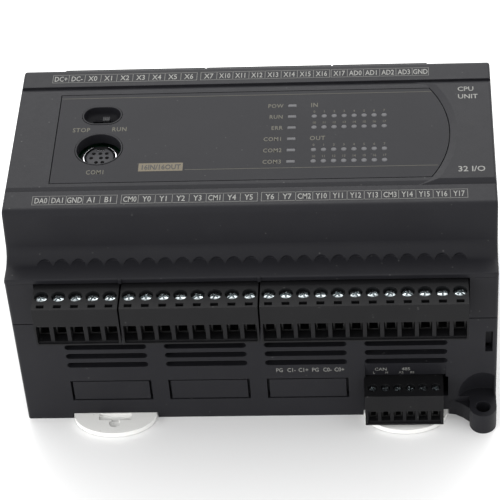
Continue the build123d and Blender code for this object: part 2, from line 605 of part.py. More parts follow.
def electronics():
    """Boards, fixings and the main components they carry."""
    io_top = IO_Z + BOARD_T
    power_top = POWER_Z + BOARD_T
    cpu_top = CPU_Z + BOARD_T
    io_board = board(-67.2, 67.2, -42.2, 42.2, IO_Z, corners(POST_X, POST_Y), 1.5)
    for row, poles, sy in (("lower", LOWER_POLES, -1), ("upper", UPPER_POLES, 1)):
        for start, count in zip(row_starts(poles), poles):
            for k in range(count):
                io_board -= rod(start + PITCH * (k + 0.5), sy * 31.88, IO_Z - 1, io_top + 1, 0.75)
    save("io_board", io_board)
    power_board = board(-55.0, 55.0, -41.2, 41.2, POWER_Z, corners(LOW_POST_X, LOW_POST_Y), 1.5)
    for k in range(COMM_POLES):
        power_board -= rod(COMM_X + COMM_PITCH * (k - 2.5), -32.38, POWER_Z - 1, power_top + 1, 0.75)
    save("power_board", power_board)
    save("cpu_board", board(-66.0, 66.0, -27.5, 27.5, CPU_Z, corners(CPU_POST_X, CPU_POST_Y), 1.5))

    spacers = []
    for x, y in corners(CPU_POST_X, CPU_POST_Y):
        spacer = extrude(Pos(x, y, io_top) * RegularPolygon(2.9, 6), amount=CPU_Z - io_top)
        spacers.append(spacer - rod(x, y, CPU_Z - 6, CPU_Z + 1, 1.25))
    save_group("board_spacers", spacers)
    screws = [board_screw(x, y, io_top) for x, y in corners(POST_X, POST_Y)]
    screws += [board_screw(x, y, power_top) for x, y in corners(LOW_POST_X, LOW_POST_Y)]
    screws += [board_screw(x, y, cpu_top) for x, y in corners(CPU_POST_X, CPU_POST_Y)]
    save_group("board_screws", screws)

    links = [block(-20, 20, 20, 25, io_top, CPU_Z), block(-50, -30, 22, 27, power_top, IO_Z)]
    save_group("board_link_connectors", links)
    relays = [block(-54 + 13.6 * k, -41.4 + 13.6 * k, -25.5, -10, io_top, io_top + 15.2) for k in range(8)]
    save_group("output_relays", relays)
    couplers = [block(-54 + 7 * k, -49.4 + 7 * k, 8, 14.5, io_top, io_top + 3.6) for k in range(16)]
    save_group("optocouplers", couplers)
    cans = [(-40, -12, 20, 8), (-20, -14, 20, 6.5), (-4, -16, 16, 5), (8, -16, 16, 5)]
    capacitors = [rod(x, y, power_top, power_top + h, r) for x, y, h, r in cans]
    save_group("capacitors", capacitors)
    core = block(22, 44, -18, 4, power_top, power_top + 18)
    winding = rod(33, -7, power_top + 18, power_top + 21, 8)
    save("power_transformer", core + winding)
    save("processor", block(-14, 0, -14, 0, cpu_top, cpu_top + 1.4))
    save("backup_battery", rod(-24, 6, cpu_top, cpu_top + 3.6, 8))
    places = [(STATUS_X, y) for y in led_rows()] + led_grid((1, 2, 4, 5))
    chips = [block(x - 0.8, x + 0.8, y - 0.4, y + 0.4, cpu_top, cpu_top + 0.8) for x, y in places]
    save_group("indicator_leds", chips)


def main():
    """Write every node."""
    os.makedirs("parts", exist_ok=True)
    save("base_housing", make_base())
    save("middle_frame", make_middle_frame())
    save("top_cover", make_cover())
    save("front_panel", make_panel())
    lens_z = PLATEAU_Z - PANEL_T - 0.6
    save_group("status_led_lenses", [
        block(STATUS_X - 1.28, STATUS_X + 1.28, y - 0.63, y + 0.63, lens_z, LENS_TOP) for y in led_rows()])
    save_group("input_led_lenses", [rod(x, y, lens_z, LENS_TOP, LENS_R - 0.02) for x, y in led_grid((1, 2))])
    save_group("output_led_lenses", [rod(x, y, lens_z, LENS_TOP, LENS_R - 0.02) for x, y in led_grid((4, 5))])
    inner_y = HALF_D - WALL
    blanks = []
    for x in blank_centres():
        half = BLANK_W / 2 - BLANK_SIDE_GAP
        low, high = BLANK_Z
        plate = block(x - half, x + half, -HALF_D + 0.1, -inner_y, low + BLANK_GAP, high - BLANK_GAP)
        flange = block(x - half - 1.6, x + half + 1.6, -inner_y, -inner_y + 0.8, low - 1.2, high + 1.2)
        blanks.append(plate + flange)
    save_group("port_blanks", blanks)
    terminal_rows()
    comm_block()
    save("din_latch_left", make_latch(-LATCH_X))
    save("din_latch_right", make_latch(LATCH_X))
    body, knob = make_switch()
    save("run_switch_body", body)
    save("run_switch_knob", knob)
    body, shell, insulator, contacts = make_com_port()
    save("com_port_body", body)
    save("com_port_shell", shell)
    save("com_port_insulator", insulator)
    save_group("com_port_contacts", contacts)
    electronics()


main()
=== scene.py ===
"""Finishes, printed legends and small fittings of a compact programmable controller."""

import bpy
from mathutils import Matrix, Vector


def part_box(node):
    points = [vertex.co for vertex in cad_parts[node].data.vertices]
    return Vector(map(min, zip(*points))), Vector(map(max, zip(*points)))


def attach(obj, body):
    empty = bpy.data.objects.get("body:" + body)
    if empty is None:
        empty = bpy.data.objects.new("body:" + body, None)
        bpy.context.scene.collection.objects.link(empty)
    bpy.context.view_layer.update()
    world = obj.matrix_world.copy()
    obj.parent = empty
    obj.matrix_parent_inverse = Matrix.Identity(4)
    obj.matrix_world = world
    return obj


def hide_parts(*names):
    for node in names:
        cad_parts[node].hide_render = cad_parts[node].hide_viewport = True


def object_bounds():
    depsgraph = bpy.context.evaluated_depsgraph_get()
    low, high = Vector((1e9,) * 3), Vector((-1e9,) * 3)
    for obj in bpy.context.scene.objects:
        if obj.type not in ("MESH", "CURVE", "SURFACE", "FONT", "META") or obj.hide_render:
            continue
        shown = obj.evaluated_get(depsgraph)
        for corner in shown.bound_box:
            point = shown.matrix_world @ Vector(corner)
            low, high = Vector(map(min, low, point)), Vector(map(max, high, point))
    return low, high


bl_info = {
    "name": "Programmable Controller",
    "version": (1, 0, 0),
    "blender": (4, 5, 0),
    "location": "3D View > Sidebar > Controller",
    "description": "Dresses the controller's packed frame with finishes, legends, screws and lenses",
    "category": "Object",
}

import math

import bmesh
import bpy
from bpy.props import FloatProperty, FloatVectorProperty, IntProperty, PointerProperty
from mathutils import Matrix, Vector

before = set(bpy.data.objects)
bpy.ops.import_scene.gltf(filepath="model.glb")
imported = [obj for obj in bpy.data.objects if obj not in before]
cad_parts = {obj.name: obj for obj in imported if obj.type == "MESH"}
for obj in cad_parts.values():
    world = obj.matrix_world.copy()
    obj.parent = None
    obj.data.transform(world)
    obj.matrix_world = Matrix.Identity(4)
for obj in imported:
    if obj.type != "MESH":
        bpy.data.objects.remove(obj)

MM = 0.001
CAD_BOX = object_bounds()

CASE_NODES = ("base_housing", "middle_frame", "top_cover", "port_blanks")
BOARD_NODES = ("io_board", "cpu_board", "power_board")
DARK_PART_NODES = ("board_link_connectors", "output_relays", "optocouplers", "processor",
                   "power_transformer", "capacitors", "header_comm")
BRASS_NODES = ("board_spacers", "header_pins_lower", "header_pins_upper", "header_pins_comm",
               "com_port_contacts")
LONG_PLUGS = {"plug_lower_a": 5, "plug_lower_b": 8, "plug_lower_c": 12,
              "plug_upper_a": 9, "plug_upper_b": 8, "plug_upper_c": 6}
COMM_POLES = 6

# Terminal screws: the small plug's head radius, every head's height, and the shank as a share of the head.
COMM_SCREW_RADIUS = 1.3 * MM
HEAD_HEIGHT = 1.3 * MM
SHANK_SHARE = 0.72

# Indicator windows: width, height and corner radius.
STATUS_WINDOW = (2.56 * MM, 1.26 * MM, 0.25 * MM)
SIGNAL_WINDOW = (1.66 * MM, 1.66 * MM, 0.8 * MM)
SIGNAL_COLUMNS, SIGNAL_ROWS = 8, 2

# Terminal names of each strip, block by block, and where each block's first box starts in millimetres.
LOWER_LABELS = ("DA0 DA1 GND A1 B1", "CM0 Y0 Y1 Y2 Y3 CM1 Y4 Y5",
                "Y6 Y7 CM2 Y10 Y11 Y12 Y13 CM3 Y14 Y15 Y16 Y17")
UPPER_LABELS = ("DC+ DC- X0 X1 X2 X3 X4 X5 X6", "X7 X10 X11 X12 X13 X14 X15 X16",
                "X17 AD0 AD1 AD2 AD3 GND")
LOWER_STARTS = (-64.1, -37.6, 3.85)
UPPER_STARTS = (-63.5, -17.0, 23.75)
LABEL_PITCH = 5.034 * MM
STRIP_BELOW_TOP = 0.2 * MM
SHORT_NAME_WIDTH, LONG_NAME_WIDTH = 0.7, 0.61       # up to two letters, and more than two

# Panel print: text, X, Y in millimetres, and width as a share of the face's own.
PANEL_WORDS = (("STOP", -52.4, 3.8, 0.77), ("RUN", -40.7, 3.9, 0.77), ("COM1", -46.5, -15.7, 0.7),
               ("IN", 18.8, 13.5, 0.77), ("OUT", 19.9, -2.0, 0.77))
PANEL_CAPITAL = 1.9 * MM
PANEL_SPACING = 1.12
STATUS_LABELS = ("POW", "RUN", "ERR", "COM1", "COM2", "COM3")
STATUS_END = 9.25 * MM              # right end of the status names
STATUS_CAPITAL = 1.75 * MM
PANEL_LINES = ((-59.7, 54.8, 18.72, 18.88), (-19.6, 56.0, -15.38, -15.22))      # X0, X1, Y0, Y1
COUNT_FIELD = (-33.6, -20.25, -15.7, -12.1)
COUNT_PLACE = (-26.92 * MM, -13.9 * MM)
COUNT_CAPITAL = 2.1 * MM
COUNT_BOLDER = 2.5                  # the count's strokes are this much heavier
NUMBER_CAPITAL = 1.0 * MM
NUMBER_LIFT = 2.15 * MM             # numbers stand this far above their windows

# Raised end: text, X, Y and capital height in millimetres, and width.
END_WORDS = (("CPU", 62.6, 19.2, 2.0, 0.92), ("UNIT", 62.6, 15.6, 2.0, 0.92),
             ("32 I/O", 61.7, -17.7, 2.3, 0.95))

# Lower wall: its distance from the middle, the port names, and the slope of the recess over the small plug.
WALL = 45.0 * MM
WALL_LABELS = "PG C1- C1+ PG C0- C0+"
WALL_START, WALL_PITCH = 6.9, 3.66
WALL_HEIGHT = 20.65 * MM
WALL_CAPITAL = 1.7 * MM
RECESS_TOP, RECESS_RUN, RECESS_DROP = 23.1 * MM, 1.0 * MM, 6.2 * MM
RECESS_WORDS = (("CAN", 37.8, 20.0, 1.55), ("485", 45.5, 20.0, 1.55), ("L", 35.7, 18.2, 1.1),
                ("H", 39.6, 18.2, 1.1), ("A2", 44.0, 18.2, 1.1), ("B2", 47.4, 18.2, 1.1))

# Studio: softboxes as name, place and side, and where the camera stands and how it is turned.
BACK_SOFTBOX = ("back softbox", (0.0, 1.0, 0.95), 1.3)
SIDE_SOFTBOX = ("side softbox", (-1.1, -0.8, 0.35), 0.8)
FLOOR_GAP = 0.05 * MM
CAMERA_PLACE = (0.04422, -0.52189, 0.52589)
CAMERA_FORWARD = (-0.06581, 0.72246, -0.68828)
CAMERA_RIGHT = (0.99770, 0.03643, -0.05717)
CAMERA_CLIP = 0.01

CAPITAL_SHARE = 0.7                 # capital height of the built-in face at size 1


# ---------------------------------------------------------------- settings

class CaseSettings(bpy.types.PropertyGroup):
    """Moulded shells and printed panel."""
    colour: FloatVectorProperty(name="Case colour", description="Charcoal of the shells", subtype="COLOR",
                                default=(0.0126, 0.0126, 0.0150), min=0, max=1)
    panel_colour: FloatVectorProperty(name="Panel colour", description="Charcoal of the printed panel",
                                      subtype="COLOR", default=(0.0124, 0.0124, 0.0148), min=0, max=1)
    plug_colour: FloatVectorProperty(name="Plug colour", description="Black of the terminal plugs",
                                     subtype="COLOR", default=(0.0085, 0.0085, 0.0092), min=0, max=1)
    dust_colour: FloatVectorProperty(name="Dust colour", description="Pale specks left on the case",
                                     subtype="COLOR", default=(0.12, 0.12, 0.117), min=0, max=1)
    grain: FloatProperty(name="Grain size", description="Distance across one grain of the moulded texture",
                         default=0.45 * MM, unit="LENGTH")
    edge_round: FloatProperty(name="Edge rounding",
                              description="Radius that the finish gives to sharp edges",
                              default=0.25 * MM, unit="LENGTH")


class LegendSettings(bpy.types.PropertyGroup):
    """Printed lettering and lines."""
    pale_ink: FloatVectorProperty(name="Pale ink", description="Terminal names", subtype="COLOR",
                                  default=(0.225, 0.225, 0.21), min=0, max=1)
    gold_ink: FloatVectorProperty(name="Gold ink", description="Panel names", subtype="COLOR",
                                  default=(0.078, 0.072, 0.047), min=0, max=1)
    thickness: FloatProperty(name="Ink thickness", description="Height of the print above the plastic",
                             default=0.02 * MM, unit="LENGTH")
    line: FloatProperty(name="Line width", description="Width of the thin boxes round the names",
                        default=0.18 * MM, unit="LENGTH")
    weight: FloatProperty(name="Weight",
                          description="How much the strokes are thickened, as a share of the capital",
                          default=0.014, min=0)
    strip_y: FloatProperty(name="Strip distance",
                           description="Distance from the middle to the terminal names",
                           default=28.25 * MM, unit="LENGTH")
    box_height: FloatProperty(name="Box height", description="Height of one terminal name's box",
                              default=3.9 * MM, unit="LENGTH")
    capital: FloatProperty(name="Capital height", description="Capital height of the terminal names",
                           default=2.35 * MM, unit="LENGTH")


class ScrewSettings(bpy.types.PropertyGroup):
    """Terminal screws."""
    colour: FloatVectorProperty(name="Zinc colour", description="Bluish zinc plating", subtype="COLOR",
                                default=(0.42, 0.46, 0.475), min=0, max=1)
    radius: FloatProperty(name="Head radius", description="Radius of a long plug's screw heads",
                          default=1.9 * MM, unit="LENGTH")
    dome: FloatProperty(name="Dome", description="Height of the head's crown",
                        default=0.42 * MM, unit="LENGTH")
    slot: FloatProperty(name="Slot width", description="Width of the driver slot",
                        default=0.55 * MM, unit="LENGTH")
    seed: IntProperty(name="Seed", description="Fixes the angle each screw was left at", default=4, min=0)


class LensSettings(bpy.types.PropertyGroup):
    """Indicator windows."""
    colour: FloatVectorProperty(name="Lens colour", description="Smoky white of the windows",
                                subtype="COLOR", default=(0.095, 0.095, 0.10), min=0, max=1)
    crown: FloatProperty(name="Crown", description="How far a window bulges",
                         default=0.12 * MM, unit="LENGTH")


class LatchSettings(bpy.types.PropertyGroup):
    """Sliding rail latches."""
    colour: FloatVectorProperty(name="Latch colour", description="Off-white plastic", subtype="COLOR",
                                default=(0.82, 0.82, 0.80), min=0, max=1)


class StageSettings(bpy.types.PropertyGroup):
    """Floor, lights and camera."""
    floor_colour: FloatVectorProperty(name="Floor colour", description="Pale paper floor", subtype="COLOR",
                                      default=(0.90, 0.90, 0.90), min=0, max=1)
    floor_size: FloatProperty(name="Floor size", description="Side of the square floor", default=6.0,
                              unit="LENGTH")
    sky: FloatProperty(name="Sky", description="Strength of the studio's own light", default=1.27, min=0)
    back_light: FloatProperty(name="Back light", description="Power of the softbox behind the module",
                              default=15.5, unit="POWER")
    side_light: FloatProperty(name="Side light", description="Power of the low softbox at the left",
                              default=9.0, unit="POWER")
    lens: FloatProperty(name="Lens", description="Focal length", default=163.63, unit="CAMERA")


# ---------------------------------------------------------------- node helpers

def link(tree, source, target):
    """Join two sockets."""
    tree.links.new(source, target)


def add(tree, kind, **settings):
    """Add a node. Settings that name an input set its value, and the rest set the node's own options."""
    made = tree.nodes.new(kind)
    for key, value in settings.items():
        if hasattr(made, key):
            setattr(made, key, value)
    for key, value in settings.items():
        if not hasattr(made, key):
            wire(tree, value, made.inputs[key.replace("_", " ")])
    return made


def wire(tree, value, socket):
    """Feed a socket from another socket, or set it to a plain value."""
    if isinstance(value, bpy.types.NodeSocket):
        link(tree, value, socket)
    else:
        socket.default_value = value


def maths(tree, operation, a, b=0.0, clamp=False):
    """One Math node's result."""
    made = tree.nodes.new("ShaderNodeMath")
    made.operation = operation
    made.use_clamp = clamp
    wire(tree, a, made.inputs[0])
    wire(tree, b, made.inputs[1])
    return made.outputs[0]


def mix_colour(tree, factor, a, b):
    """Blend of two colours."""
    made = tree.nodes.new("ShaderNodeMix")
    made.data_type = "RGBA"
    wire(tree, factor, made.inputs[0])
    for value, index in ((a, 6), (b, 7)):
        wire(tree, value if isinstance(value, bpy.types.NodeSocket) else (*value, 1), made.inputs[index])
    return made.outputs[2]


def ramp(tree, value, low, high):
    """0 below low, 1 above high, smooth between."""
    made = tree.nodes.new("ShaderNodeMapRange")
    made.interpolation_type = "SMOOTHSTEP"
    wire(tree, value, made.inputs["Value"])
    made.inputs["From Min"].default_value = low
    made.inputs["From Max"].default_value = high
    return made.outputs["Result"]


def shader_group(name, inputs, outputs):
    """Empty shader group with named sockets: its tree, its input node and its output node."""
    tree = bpy.data.node_groups.new(name, "ShaderNodeTree")
    for label, kind, default in inputs:
        socket = tree.interface.new_socket(label, in_out="INPUT", socket_type=kind)
        socket.default_value = default
    for label, kind in outputs:
        tree.interface.new_socket(label, in_out="OUTPUT", socket_type=kind)
    return tree, tree.nodes.new("NodeGroupInput"), tree.nodes.new("NodeGroupOutput")


def place_group(tree, group, **values):
    """Put a shader group into a material."""
    made = tree.nodes.new("ShaderNodeGroup")
    made.node_tree = group
    for key, value in values.items():
        wire(tree, value, made.inputs[key.replace("_", " ")])
    return made


def object_noise(tree, scale, detail=2.0):
    """Noise over the piece's own place in the frame."""
    place = tree.nodes.new("ShaderNodeTexCoord")
    return add(tree, "ShaderNodeTexNoise", Vector=place.outputs["Object"], Scale=scale, Detail=detail)


def bevel_normal(tree, radius):
    """Node whose normal rounds sharp edges."""
    made = tree.nodes.new("ShaderNodeBevel")
    made.samples = 4
    link(tree, radius, made.inputs["Radius"])
    return made


def group_grain():
    """Moulded or machined grain as a normal, on softened edges."""
    tree, ins, outs = shader_group(
        "Moulded grain",
        [("Size", "NodeSocketFloat", 0.5 * MM), ("Depth", "NodeSocketFloat", 0.02 * MM),
         ("Edge Radius", "NodeSocketFloat", 0.2 * MM)],
        [("Normal", "NodeSocketVector"), ("Height", "NodeSocketFloat")])
    per_metre = maths(tree, "DIVIDE", 1.0, ins.outputs["Size"])
    fine = object_noise(tree, per_metre, 3.0)
    broad_scale, broad_share = 0.23, 0.5
    broad = object_noise(tree, maths(tree, "MULTIPLY", per_metre, broad_scale))
    height = maths(tree, "ADD", fine.outputs["Fac"],
                   maths(tree, "MULTIPLY", broad.outputs["Fac"], broad_share))
    rounded = bevel_normal(tree, ins.outputs["Edge Radius"])
    bump = add(tree, "ShaderNodeBump", Height=height, Distance=ins.outputs["Depth"],
               Normal=rounded.outputs["Normal"])
    link(tree, bump.outputs["Normal"], outs.inputs["Normal"])
    link(tree, height, outs.inputs["Height"])
    return tree


def group_dust():
    """Fine pale specks and a thin film of dust, as a mask."""
    tree, ins, outs = shader_group(
        "Dust specks",
        [("Spacing", "NodeSocketFloat", 3.0 * MM), ("Amount", "NodeSocketFloat", 0.5)],
        [("Mask", "NodeSocketFloat")])
    place = tree.nodes.new("ShaderNodeTexCoord")
    per_metre = maths(tree, "DIVIDE", 1.0, ins.outputs["Spacing"])
    cells = add(tree, "ShaderNodeTexVoronoi", Vector=place.outputs["Object"], Scale=per_metre,
                Randomness=1.0)
    speck = maths(tree, "SUBTRACT", 1.0, ramp(tree, cells.outputs["Distance"], 0.03, 0.13))
    tint = add(tree, "ShaderNodeSeparateColor", Color=cells.outputs["Color"])
    speck = maths(tree, "MULTIPLY", speck, ramp(tree, tint.outputs[0], 0.55, 0.95))
    film = ramp(tree, object_noise(tree, 90.0, 5.0).outputs["Fac"], 0.45, 0.8)
    fine = ramp(tree, object_noise(tree, 5200.0, 2.0).outputs["Fac"], 0.55, 0.75)
    film_share = 0.35
    film = maths(tree, "MULTIPLY", film, maths(tree, "MULTIPLY", fine, film_share))
    both = maths(tree, "MULTIPLY", maths(tree, "ADD", speck, film), ins.outputs["Amount"], clamp=True)
    link(tree, both, outs.inputs["Mask"])
    return tree


def group_edge_wear():
    """Where an edge has been rubbed, and where it carries a painted highlight, as a mask."""
    tree, ins, outs = shader_group(
        "Edge wear",
        [("Radius", "NodeSocketFloat", 0.4 * MM), ("Amount", "NodeSocketFloat", 0.5)],
        [("Mask", "NodeSocketFloat")])
    rounded = bevel_normal(tree, ins.outputs["Radius"])
    flat = tree.nodes.new("ShaderNodeNewGeometry")
    dot = tree.nodes.new("ShaderNodeVectorMath")
    dot.operation = "DOT_PRODUCT"
    link(tree, rounded.outputs["Normal"], dot.inputs[0])
    link(tree, flat.outputs["Normal"], dot.inputs[1])
    edge = maths(tree, "SUBTRACT", 1.0, ramp(tree, dot.outputs["Value"], 0.75, 0.99))
    patches = ramp(tree, object_noise(tree, 420.0, 3.0).outputs["Fac"], 0.35, 0.65)
    link(tree, maths(tree, "MULTIPLY", maths(tree, "MULTIPLY", edge, patches), ins.outputs["Amount"]),
         outs.inputs["Mask"])
    return tree


GROUPS = {}


def groups():
    """The shared shader groups, built once."""
    if not GROUPS:
        GROUPS.update(grain=group_grain(), dust=group_dust(), wear=group_edge_wear())
    return GROUPS


def new_material(name, roughness=0.5, metallic=0.0, specular=0.5):
    """Material with its Principled shader, and that shader's constants."""
    made = bpy.data.materials.new(name)
    made.use_nodes = True
    shader = made.node_tree.nodes["Principled BSDF"]
    shader.inputs["Roughness"].default_value = roughness
    shader.inputs["Metallic"].default_value = metallic
    shader.inputs["Specular IOR Level"].default_value = specular
    return made, made.node_tree, shader


def moulded(name, colour, grain=0.45 * MM, depth=0.02 * MM, edge=0.25 * MM, dust=0.5, spacing=2.6 * MM,
            wear=0.35, rough=(0.38, 0.52), specular=0.125, dust_colour=(0.12, 0.12, 0.117), mottling=0.12):
    """Moulded plastic: grain, mottled tone, edges lightened as rubbed wear and as a painted highlight, and
    dust.
    """
    made, tree, shader = new_material(name, specular=specular)
    share = groups()
    surface = place_group(tree, share["grain"], Size=grain, Depth=depth, Edge_Radius=edge)
    link(tree, surface.outputs["Normal"], shader.inputs["Normal"])
    tone = object_noise(tree, 60.0, 4.0).outputs["Fac"]
    dark = tuple(c * (1 - mottling) for c in colour)
    light = tuple(c * (1 + mottling) for c in colour)
    base = mix_colour(tree, tone, dark, light)
    # Sharp edges get a lighter colour: partly rubbed wear, partly a painted edge highlight.
    rubbed_and_highlit = place_group(tree, share["wear"], Radius=edge * 1.6, Amount=wear).outputs["Mask"]
    worn_and_highlit = tuple(min(1.0, c * 1.6 + 0.013) for c in colour)
    base = mix_colour(tree, rubbed_and_highlit, base, worn_and_highlit)
    dusty = place_group(tree, share["dust"], Spacing=spacing, Amount=dust).outputs["Mask"]
    link(tree, mix_colour(tree, dusty, base, dust_colour), shader.inputs["Base Color"])
    gloss = tree.nodes.new("ShaderNodeMapRange")
    link(tree, surface.outputs["Height"], gloss.inputs["Value"])
    gloss.inputs["From Min"].default_value = 0.4
    gloss.inputs["From Max"].default_value = 1.1
    gloss.inputs["To Min"].default_value = rough[0]
    gloss.inputs["To Max"].default_value = rough[1]
    link(tree, maths(tree, "ADD", gloss.outputs["Result"], maths(tree, "MULTIPLY", dusty, 0.3), clamp=True),
         shader.inputs["Roughness"])
    return made


def plated(name, colour, rough=(0.16, 0.34), grain=0.25 * MM, depth=0.006 * MM, edge=0.12 * MM,
           tarnish=0.5):
    """Plated metal: fine scratches, tarnish in patches and softened edges."""
    made, tree, shader = new_material(name, metallic=1.0)
    surface = place_group(tree, groups()["grain"], Size=grain, Depth=depth, Edge_Radius=edge)
    link(tree, surface.outputs["Normal"], shader.inputs["Normal"])
    patches = ramp(tree, object_noise(tree, 900.0, 4.0).outputs["Fac"], 0.4, 0.7)
    dull = tuple(c * (1 - tarnish) for c in colour)
    link(tree, mix_colour(tree, patches, colour, dull), shader.inputs["Base Color"])
    spread = maths(tree, "MULTIPLY", patches, rough[1] - rough[0])
    link(tree, maths(tree, "ADD", spread, rough[0]), shader.inputs["Roughness"])
    return made


def ink(name, colour):
    """Screen-printed ink: slightly broken, matt."""
    made, tree, shader = new_material(name)
    broken = ramp(tree, object_noise(tree, 2600.0, 3.0).outputs["Fac"], 0.35, 0.62)
    thin = tuple(c * 0.62 for c in colour)
    link(tree, mix_colour(tree, broken, thin, colour), shader.inputs["Base Color"])
    link(tree, maths(tree, "ADD", maths(tree, "MULTIPLY", broken, 0.12), 0.5), shader.inputs["Roughness"])
    return made


def dress(material, *nodes):
    """Give CAD nodes a material."""
    for name in nodes:
        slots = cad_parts[name].data.materials
        slots.clear()
        slots.append(material)


# ---------------------------------------------------------------- mesh helpers

def finish_piece(name, mesh, material, body, replaces=()):
    """Make a finished mesh a piece that rides on a body."""
    mesh.materials.clear()
    mesh.materials.append(material)
    made = bpy.data.objects.new(name, mesh)
    bpy.context.scene.collection.objects.link(made)
    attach(made, body)
    if replaces:
        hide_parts(*replaces)
    return made


def baked(made):
    """Plain mesh of an object as its modifiers leave it. The object is removed."""
    bpy.context.view_layer.update()
    graph = bpy.context.evaluated_depsgraph_get()
    mesh = bpy.data.meshes.new_from_object(made.evaluated_get(graph))
    source = made.data
    bpy.data.objects.remove(made)
    if isinstance(source, bpy.types.Curve):
        bpy.data.curves.remove(source)
    return mesh


def letters(text, capital, thickness, weight, align="CENTER", width=1.0, spacing=1.0):
    """Mesh of one word lying flat, its capitals' middle at the origin."""
    curve = bpy.data.curves.new(text, "FONT")
    curve.body = text
    curve.size = capital / CAPITAL_SHARE
    curve.extrude = thickness
    curve.offset = weight * capital
    curve.resolution_u = 2
    curve.align_x = align
    curve.space_character = spacing
    made = bpy.data.objects.new(text, curve)
    bpy.context.scene.collection.objects.link(made)
    mesh = baked(made)
    mesh.transform(Matrix.Diagonal((width, 1, 1, 1)) @ Matrix.Translation((0, -capital / 2, 0)))
    return mesh


class Print:
    """Gathers words and bars on one surface into a single mesh."""

    def __init__(self, sizes, turn=0.0):
        self.mesh = bmesh.new()
        self.thickness = sizes.thickness
        self.weight = sizes.weight
        self.turn = turn

    def place(self, x, y, level):
        """Matrix for print at a point: flat on a level, or on a wall that is turned up about X."""
        if self.turn:
            return Matrix.Translation((x, -level, y)) @ Matrix.Rotation(self.turn, 4, "X")
        return Matrix.Translation((x, y, level))

    def word(self, text, x, y, level, capital, **options):
        """Add one word."""
        mesh = letters(text, capital, self.thickness, self.weight, **options)
        mesh.transform(self.place(x, y, level))
        self.mesh.from_mesh(mesh)
        bpy.data.meshes.remove(mesh)

    def bar(self, x0, x1, y0, y1, level):
        """Add one straight bar."""
        size = Matrix.Diagonal((x1 - x0, y1 - y0, 2 * self.thickness, 1))
        place = self.place((x0 + x1) / 2, (y0 + y1) / 2, level)
        bmesh.ops.create_cube(self.mesh, size=1, matrix=place @ size)

    def done(self, name):
        """The finished mesh."""
        mesh = bpy.data.meshes.new(name)
        bmesh.ops.recalc_face_normals(self.mesh, faces=self.mesh.faces)
        self.mesh.to_mesh(mesh)
        self.mesh.free()
        return mesh

    def publish(self, name, material):
        """Make the print one piece that is fixed to the case."""
        finish_piece(name, self.done(name), material, "root")


def geometry_tree(name, inputs):
    """Empty Geometry Nodes tree with named inputs: its tree and its input node."""
    tree = bpy.data.node_groups.new(name, "GeometryNodeTree")
    for label, kind, default in inputs:
        socket = tree.interface.new_socket(label, in_out="INPUT", socket_type=kind)
        if default is not None:
            socket.default_value = default
    tree.interface.new_socket("Geometry", in_out="OUTPUT", socket_type="NodeSocketGeometry")
    return tree, tree.nodes.new("NodeGroupInput")


def end_tree(tree, geometry, material):
    """Realize the instances, set the material and end the tree."""
    real = add(tree, "GeometryNodeRealizeInstances", Geometry=geometry)
    finish = add(tree, "GeometryNodeSetMaterial", Geometry=real.outputs[0], Material=material)
    end = tree.nodes.new("NodeGroupOutput")
    link(tree, finish.outputs[0], end.inputs[0])


def grow(tree, values):
    """Plain mesh that a Geometry Nodes tree makes from these inputs."""
    holder = bpy.data.objects.new("grown", bpy.data.meshes.new("grown"))
    bpy.context.scene.collection.objects.link(holder)
    modifier = holder.modifiers.new("grow", "NODES")
    modifier.node_group = tree
    names = {item.name: item.identifier for item in tree.interface.items_tree if item.in_out == "INPUT"}
    for key, value in values.items():
        modifier[names[key]] = value
    return baked(holder)


def combine(tree, x, y, z):
    """Vector from three values."""
    made = tree.nodes.new("ShaderNodeCombineXYZ")
    for value, socket in zip((x, y, z), made.inputs):
        wire(tree, value, socket)
    return made.outputs[0]


def moved(tree, geometry, offset):
    """Geometry shifted by a vector."""
    return add(tree, "GeometryNodeTransform", Geometry=geometry, Translation=offset).outputs[0]


def joined(tree, *geometries):
    """Several geometries as one."""
    made = tree.nodes.new("GeometryNodeJoinGeometry")
    for geometry in geometries:
        link(tree, geometry, made.inputs[0])
    return made.outputs[0]


# ---------------------------------------------------------------- geometry trees

